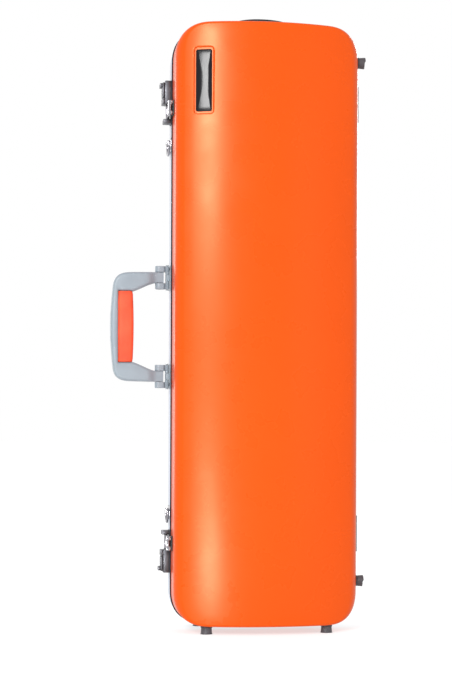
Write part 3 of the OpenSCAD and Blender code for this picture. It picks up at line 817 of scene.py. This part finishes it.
def feet(cad_name):
    """Tapered rubber feet with a moulded collar and a rounded sole."""
    lo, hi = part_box(cad_name)
    solids = Solids(Vector())
    r, high = 7.5, 10
    y = (lo.y + hi.y) / 2 / MM
    if "end" in cad_name:
        spots = [((x, y, BASE_LO.z / MM), (0, 0, -1)) for x in (lo.x / MM + r, hi.x / MM - r)]
    else:
        spots = [((BASE_HI.x / MM, y, z), (1, 0, 0)) for z in (lo.z / MM + r, hi.z / MM - r)]
    for centre, axis in spots:
        collar = Vector(centre)
        solids.rod(collar, axis, 1.6, r - 0.1, 0.4, 40)
        solids.rod(collar + Vector(axis), axis, high - 1, r - 0.75, 0.9, 40, r)
        solids.rod(collar + Vector(axis) * (high - 0.5), axis, 0.5, 3.1, 0, 32, 3.4)
    solids.made(cad_name + "_moulded", cad_name)


def top_strap():
    """The rubber strap bowed over the end, with a rounded section, and its two plates."""
    lo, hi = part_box("top_handle")
    plate_lo, plate_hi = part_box("top_handle_plates")
    y, width, high = (lo.y + hi.y) / 2, hi.y - lo.y, hi.z - BASE_HI.z
    plate_half, thick, power, buried = 10, 5 * MM, 2.2, 0.035
    spread = (plate_hi.x - plate_lo.x) / 2 - plate_half * MM
    half = spread + 0.7 * thick
    steps, loops = 48, []
    for i in range(steps + 1):
        t = math.pi * (buried + (1 - 2 * buried) * i / steps)
        cos, sin = math.cos(t), math.sin(t)
        x = spread * math.copysign(abs(cos) ** (2 / power), cos)
        z = (high - thick / 2) * sin ** (2 / power)
        nx, nz = math.copysign(abs(cos) ** 1.2, cos) / half, sin ** 1.2 / high
        size = math.hypot(nx, nz)
        loops.append([Vector((MID_X + x + nx * u / size, y + v, BASE_HI.z + z + nz * u / size))
                      for u, v in rounded_rect(thick - 0.4 * MM, width, 1.9 * MM, 4)])
    loft("top_handle_strap", "base", "strap_rubber", "top_handle", loops)
    plates = Solids(Vector((MID_X, y, BASE_HI.z)))
    for x in (-spread / MM, spread / MM):
        plates.block((x - plate_half, x + plate_half), (-14, 14), (0, 2.6), 0.9, 3)
        plates.block((x - 6.5, x + 6.5), (-12.6, 12.6), (0.5, 4), 1.2, 3)
    plates.made("top_handle_end_plates", "top_handle_plates")


def fittings():
    for side in ("upper", "lower"):
        latch(side)
        strap_eye(side)
        hinge(side)
        handle_bracket(side)
    for cad_name in ("lid_end_feet", "base_end_feet", "lid_side_feet", "base_side_feet"):
        feet(cad_name)
    top_strap()


# ------------------------------------------------------------------ the lined inside
def evaluated(source, prepare):
    """The mesh that source becomes under the modifiers that prepare(object) adds."""
    work = in_scene("work", source)
    prepare(work)
    mesh = baked(work)
    bpy.data.objects.remove(work)
    return mesh


def softened(source, voxel, rounds, shrink=0.0):
    """A mesh remeshed in voxels, moved inwards by shrink, and smoothed, so its edges are round."""
    def prepare(work):
        remesh = work.modifiers.new("voxels", "REMESH")
        remesh.mode, remesh.voxel_size = "VOXEL", voxel
        if shrink:
            inwards = work.modifiers.new("inwards", "DISPLACE")
            inwards.strength, inwards.mid_level = -shrink, 0.0
        relax = work.modifiers.new("relax", "SMOOTH")
        relax.factor, relax.iterations = 0.5, rounds
    return evaluated(source, prepare)


CLOTH_FRAMES = 20


def puffed(mesh, pressure, cap, lo, hi):
    """Cloth under pressure with no gravity: no point moves further than cap, or leaves lo to hi."""
    scene = bpy.context.scene
    start = [v.co.copy() for v in mesh.vertices]
    work = in_scene("cloth_work", mesh)
    cloth = work.modifiers.new("cloth", "CLOTH")
    cloth.settings.use_pressure, cloth.settings.uniform_pressure_force = True, pressure
    cloth.settings.effector_weights.gravity = 0
    cloth.point_cache.frame_start, cloth.point_cache.frame_end = 1, CLOTH_FRAMES
    for frame_number in range(1, CLOTH_FRAMES + 1):
        scene.frame_set(frame_number)
    dg = bpy.context.evaluated_depsgraph_get()
    moved = [v.co.copy() for v in work.evaluated_get(dg).data.vertices]
    bpy.data.objects.remove(work)
    scene.frame_set(1)
    for v, a, b in zip(mesh.vertices, start, moved):
        step = b - a
        if step.length > cap:
            step *= cap / step.length
        v.co = [min(max(c, l), h) for c, l, h in zip(a + step, lo, hi)]
    return mesh


def subdivided(mesh):
    def prepare(work):
        work.modifiers.new("smooth", "SUBSURF").levels = 1
    return evaluated(mesh, prepare)


def ring_loops(points, r, sides=8):
    """Loops of a round tube along a closed path that is square to Y."""
    loops = []
    for i, p in enumerate(points):
        along = (points[(i + 1) % len(points)] - points[i - 1]).normalized()
        side = along.cross(Vector((0, 1, 0))).normalized()
        up = side.cross(along)
        turns = [2 * math.pi * k / sides for k in range(sides)]
        loops.append([p + side * (r * math.cos(t)) + up * (r * math.sin(t)) for t in turns])
    return loops


def welt(name, cad_name, slot, mesh, y, band, r=0.9 * MM, count=96):
    """A sewn piping cord round a pad, where its side is widest near the plane y."""
    near = [v.co for v in mesh.vertices if abs(v.co.y - y) < band]
    mid = middle(cad_name)
    directions = [Vector((math.cos(t), 0, math.sin(t)))
                  for t in (2 * math.pi * i / count for i in range(count))]
    reach = []
    for direction in directions:
        across = Vector((-direction.z, 0, direction.x))
        rays = [(p - mid).dot(direction) for p in near
                if (p - mid).dot(direction) > 0 and abs((p - mid).dot(across)) < 3.2 * MM]
        reach.append(max(rays))
    for _ in range(2):
        reach = [(reach[i - 1] + 2 * reach[i] + reach[(i + 1) % count]) / 4 for i in range(count)]
    path = [Vector((mid.x, y, mid.z)) + direction * d for direction, d in zip(directions, reach)]
    skin_over(name, BODY[cad_name], slot, ring_loops(path, r), 60.0, closed_rows=True)


def bed():
    """The foam bed under short-pile cloth, its edges rounded."""
    mesh = softened(frame["nodes"]["bed_foam"].data, 3 * MM, 4)
    made = finished("bed_covered_foam", "base", "lining_velvet", mesh, 70.0)
    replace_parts(made, "bed_foam")


def pad(cad_name, slot, voxel, shrink, pressure, cap, pipe_y=None, over=0.0):
    """A sewn pad: swollen by cloth simulation between its base and its free faces."""
    lo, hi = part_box(cad_name)
    mesh = softened(frame["nodes"][cad_name].data, voxel, 4, shrink)
    room = Vector((over, over, over))
    mesh = puffed(mesh, pressure, cap, lo - room, Vector((hi.x + over, hi.y, hi.z + over)))
    smooth_mesh = subdivided(mesh)
    made = finished(cad_name + "_sewn", BODY[cad_name], slot, smooth_mesh, 80.0)
    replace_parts(made, cad_name)
    if pipe_y is not None:
        welt(cad_name + "_welt", cad_name, slot, smooth_mesh, lo.y + (hi.y - lo.y) * pipe_y, 2.5 * MM)


def strip(name, body, slot, path, width, thick, z_mid):
    """A strap that follows (x, y) points in metres, its width along Z."""
    loops = []
    for i, (x, y) in enumerate(path):
        ax, ay = path[max(i - 1, 0)]
        bx, by = path[min(i + 1, len(path) - 1)]
        size = math.hypot(bx - ax, by - ay)
        nx, ny = -(by - ay) / size, (bx - ax) / size
        loops.append([Vector((x + nx * u, y + ny * u, z_mid + v))
                      for u, v in rounded_rect(thick, width, thick * 0.42, 3)])
    return skin_over(name, body, slot, loops, 60.0, caps=True)


def stitch_row(solids, x0, x1, y, z, pitch=3.2, size=1.8):
    """A row of raised stitches along X, in millimetres."""
    count = int((x1 - x0) / pitch)
    for i in range(count):
        x = x0 + pitch * (i + 0.5)
        solids.block((x - size / 2, x + size / 2), (y - 0.25, y + 0.25), (z - 0.3, z + 0.3), 0.12, 1)


def neck_strap():
    """Two webbing straps that meet over the violin's neck, with a hook-and-loop patch."""
    lo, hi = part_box("neck_strap")
    half, z = (hi.x - lo.x) / 2, (lo.z + hi.z) / 2
    rest_y = hi.y - 0.9 * MM
    path = []
    for x in even_steps(half, 40):
        sag = smooth((40 * MM - abs(x)) / (22 * MM))
        path.append((MID_X + x, rest_y + 2.2 * MM * sag))
    width = hi.z - lo.z
    made = strip("neck_strap_webbing", "base", "webbing", path, width, 1.6 * MM, z)
    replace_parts(made, "neck_strap")
    extras = Solids(Vector((MID_X, rest_y, z)))
    for side in (-1, 1):
        seams = side * 47.5, side * 59.5
        for x in seams:
            for k in range(6):
                offset = -9 + 3.4 * k
                extras.block((x - 0.3, x + 0.3), (-1.15, -0.6), (offset, offset + 2.0), 0.12, 1)
        for k in (-9.3, 9.3):
            stitch_row(extras, *sorted(seams), -0.9, k)
    threads = extras.made("neck_strap_stitches", "neck_strap", "webbing", stands_for=False)
    threads.data.materials[0] = THREAD
    patch_path = [(x, y - 1.5 * MM) for x, y in path if abs(x - MID_X) < 17 * MM]
    patch = strip("neck_strap_patch", "base", "pad_velvet", patch_path, width - 2 * MM, 1.4 * MM, z)


def lid_lining():
    """Cloth over thin foam, following the inside of the lid."""
    def skin(inset, side_r, end_r):
        return shell_rings(LID_D, LID_RISE, LINING_START, inset, side_r, end_r, -1)
    outer = skin(SHELL_T + 0.2 * MM, 7 * MM, 2 * MM)
    inner = skin(SHELL_T + LINING_T, 5 * MM, 4 * MM)
    rim = [[p + (q - p) * 0.5 + Vector((0, 0.9 * MM, 0)) for p, q in zip(outer[0], inner[0])]]
    made = skin_over("lid_lining_cloth", "lid", "lining_velvet", outer[::-1] + rim + inner, 70.0)
    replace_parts(made, "lid_lining")


def lining_y(x, gap):
    """Height of a point over the lining at x from the case's middle, in row-frame Y."""
    return -(arch_depth(x, LID_D, LID_RISE, SHELL_T + LINING_T) - gap)


def bow_tip_band():
    """One strip of webbing, sewn down at its ends and its middle, with two pockets for bow tips."""
    lo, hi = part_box("bow_tip_band")
    half, z = (hi.x - lo.x) / 2, (lo.z + hi.z) / 2
    foot, lift = 5 * MM, 9.4 * MM
    path = []
    for x in even_steps(half, 120):
        k = min(max((abs(x) - foot) / (half - 3 * foot), 0.0), 1.0)
        rise = math.sin(math.pi * k) ** 0.55 if 0 < k < 1 else 0.0
        path.append((MID_X + x, lining_y(x, 0.9 * MM + lift * rise)))
    width = hi.z - lo.z
    made = strip("bow_tip_band_webbing", "lid", "webbing", path, width, 1.4 * MM, z)
    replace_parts(made, "bow_tip_band")


def bow_holder(side):
    """A round seat with a turning bar that holds the bow's frog."""
    lo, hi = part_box(f"bow_{side}_base")
    origin = Vector(((lo.x + hi.x) / 2, 0, (lo.z + hi.z) / 2))
    low, high = lo.y / MM, hi.y / MM
    seat = Solids(origin)
    seat.rod((0, low, 0), (0, 1, 0), high - low, 11, 0.8, 48, 10.2)
    seat.made(f"bow_{side}_seat", f"bow_{side}_base")
    bar_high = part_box(f"bow_{side}_turn")[1].y / MM
    bar_low = bar_high - 6
    bar = Solids(origin)
    outline_points = arc(0, 14.5, 6.5, 0, 180, 12)
    outline_points += [(-x, -z) for x, z in outline_points]
    bar.extrude(outline_points, bar_low, bar_high, 1.1, 3, upright=False)
    bar.rod((0, bar_high - 0.2, 0), (0, 1, 0), 1.2, 4.2, 0.4, 36)
    bar.rod((0, bar_low - 2.5, 0), (0, 1, 0), 3.5, 3, 0)
    bar.made(f"bow_{side}_turn_bar", f"bow_{side}_turn")


def tongue():
    """The guide rib inside the rim, with a rounded free edge."""
    lo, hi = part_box("rim_tongue")
    inset = HALF_W - (hi.x - lo.x) / 2
    thick, low, high = 2 * MM, lo.y, hi.y
    nose = arc(inset + thick / 2, low + thick / 2, thick / 2, 180, 360, 6)
    bead("rim_tongue_rib", "base", "trim_plastic", "rim_tongue",
         [(inset, high)] + nose + [(inset + thick, high)])


def zip_fastener():
    """A coil zip across the pouch's upper third: tape, two rows of teeth, slider and pull."""
    lo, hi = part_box("accessory_pouch")
    mid = (lo + hi) / 2
    z = mid.z + 16 * MM
    pouch = bpy.data.objects["accessory_pouch_sewn"].data
    tree = BVHTree.FromPolygons([v.co for v in pouch.vertices], [p.vertices for p in pouch.polygons])
    half = (hi.x - lo.x) / 2 - 13 * MM
    steps = 44
    path = []
    for x in even_steps(half, steps):
        hit = tree.ray_cast(Vector((mid.x + x, lo.y - 0.05, z)), Vector((0, 1, 0)))[0]
        path.append((mid.x + x, hit.y - 0.4 * MM))
    width = 20 * MM
    tape = strip("pouch_zip_tape", "base", "webbing", path, width, 1.2 * MM, z)
    teeth = Solids(Vector())
    total = 92
    for i in range(total):
        f = (i + 0.5) / total * steps
        k = int(f)
        x = path[k][0] + (path[k + 1][0] - path[k][0]) * (f - k)
        y = path[k][1] + (path[k + 1][1] - path[k][1]) * (f - k)
        side = 1.0 if i % 2 else -1.0
        cx, cy, cz = x / MM, y / MM - 0.9, z / MM + side * 0.9
        teeth.block((cx - 0.65, cx + 0.65), (cy - 0.6, cy + 0.6), (cz - 1.5, cz + 1.5), 0.25, 1)
    teeth.made("pouch_zip_teeth", "accessory_pouch", "trim_plastic", stands_for=False)
    x, y = path[6]
    runner = Solids(Vector((x, y - 2.2 * MM, z)))
    runner.block((-5, 5), (-1.6, 1.4), (-3.6, 3.6), 0.9, 3)
    runner.block((-4, 1.5), (-3.0, -1.2), (-1.0, 1.0), 0.5)
    runner.block((-1.2, 18), (-2.6, -1.5), (-2.4, 2.4), 0.5, 3)
    runner.made("pouch_zip_slider", "accessory_pouch", "latch_chrome", stands_for=False)


def inside():
    bed()
    for bout in ("lower", "upper"):
        pad("bout_pad_" + bout, "pad_velvet", voxel=3 * MM, shrink=1.2 * MM, pressure=4.0, cap=3 * MM,
            pipe_y=0.55, over=1.5 * MM)
    pad("neck_cradle", "pad_velvet", voxel=2.5 * MM, shrink=0.4 * MM, pressure=1.5, cap=1.5 * MM)
    pad("accessory_pouch", "pouch_cloth", voxel=5 * MM, shrink=2.5 * MM, pressure=4.0, cap=6 * MM,
        pipe_y=0.32)
    zip_fastener()
    neck_strap()
    lid_lining()
    bow_tip_band()
    for side in ("left", "right"):
        bow_holder(side)
    tongue()


# ------------------------------------------------------------------ stage, lights, camera
FLOOR_SIZE, FLOOR_TONE, FLOOR_GLOW = 60, 0.4, 0.62


def stage():
    bpy.ops.mesh.primitive_plane_add(size=FLOOR_SIZE, location=(0, 0, 0))
    floor = bpy.context.object
    floor.name = "floor"
    floor.data.materials.append(material("pale_floor", (FLOOR_TONE,) * 3, 0.8, specular_ior_level=0.0,
                                         emission_color=(1, 1, 1), emission_strength=FLOOR_GLOW))


def softbox(name, azimuth, height, distance, width, tall, power, aim=0.42):
    """An area light at an azimuth from the -Y side, aimed at the case."""
    light = bpy.data.lights.new(name, "AREA")
    light.shape, light.size, light.size_y, light.energy = "RECTANGLE", width, tall, power
    made = in_scene(name, light)
    a = math.radians(azimuth)
    made.location = (MID_X + distance * math.sin(a), -distance * math.cos(a), height)
    made.rotation_mode = "QUATERNION"
    aim_at = Vector((MID_X, 0, aim)) - made.location
    made.rotation_quaternion = aim_at.to_track_quat("-Z", "Y")
    made.visible_camera = False


def lights():
    softbox("key_upper", -26, 1.18, 2.2, 0.28, 0.74, 32)
    softbox("key_strip", -26, 0.62, 2.2, 0.28, 0.60, 1.2)
    softbox("key_lower", -26, 0.06, 2.2, 0.28, 0.11, 7)
    softbox("key_floor", -26, 0.03, 0.7, 0.10, 0.04, 1.0, 0.05)
    softbox("right_fill", 30, 0.6, 2.4, 0.8, 1.2, 1.4)
    softbox("back_key", 150, 1.2, 2.4, 0.6, 1.0, 16)
    softbox("back_fill", 215, 0.7, 2.4, 0.8, 1.2, 8)
    world = bpy.data.worlds.new("studio")
    world.use_nodes = True
    background = world.node_tree.nodes["Background"]
    background.inputs["Color"].default_value = (1, 1, 1, 1)
    background.inputs["Strength"].default_value = 1.0
    bpy.context.scene.world = world
    bpy.context.scene.view_settings.view_transform = "Standard"


CAMERA_AZIMUTH, CAMERA_DISTANCE, CAMERA_HEIGHT = -9.0, 2.10, 0.264
LENS, HORIZON_SHIFT = 83.96, 0.134
AIM_LEFT, CAMERA_ROLL = 1.31, -0.23


def camera():
    data = bpy.data.cameras.new("camera")
    data.lens, data.sensor_width, data.shift_y = LENS, 36, HORIZON_SHIFT
    made = in_scene("camera", data)
    a = math.radians(CAMERA_AZIMUTH)
    made.location = (MID_X + CAMERA_DISTANCE * math.sin(a), -CAMERA_DISTANCE * math.cos(a), CAMERA_HEIGHT)
    made.rotation_euler = (math.radians(90), math.radians(CAMERA_ROLL), a + math.radians(AIM_LEFT))
    bpy.context.scene.camera = made


camera()
stage()
lights()
lid()
base()
seal()
name_plate()
handle_frame()
handle_grip()
fittings()
inside()
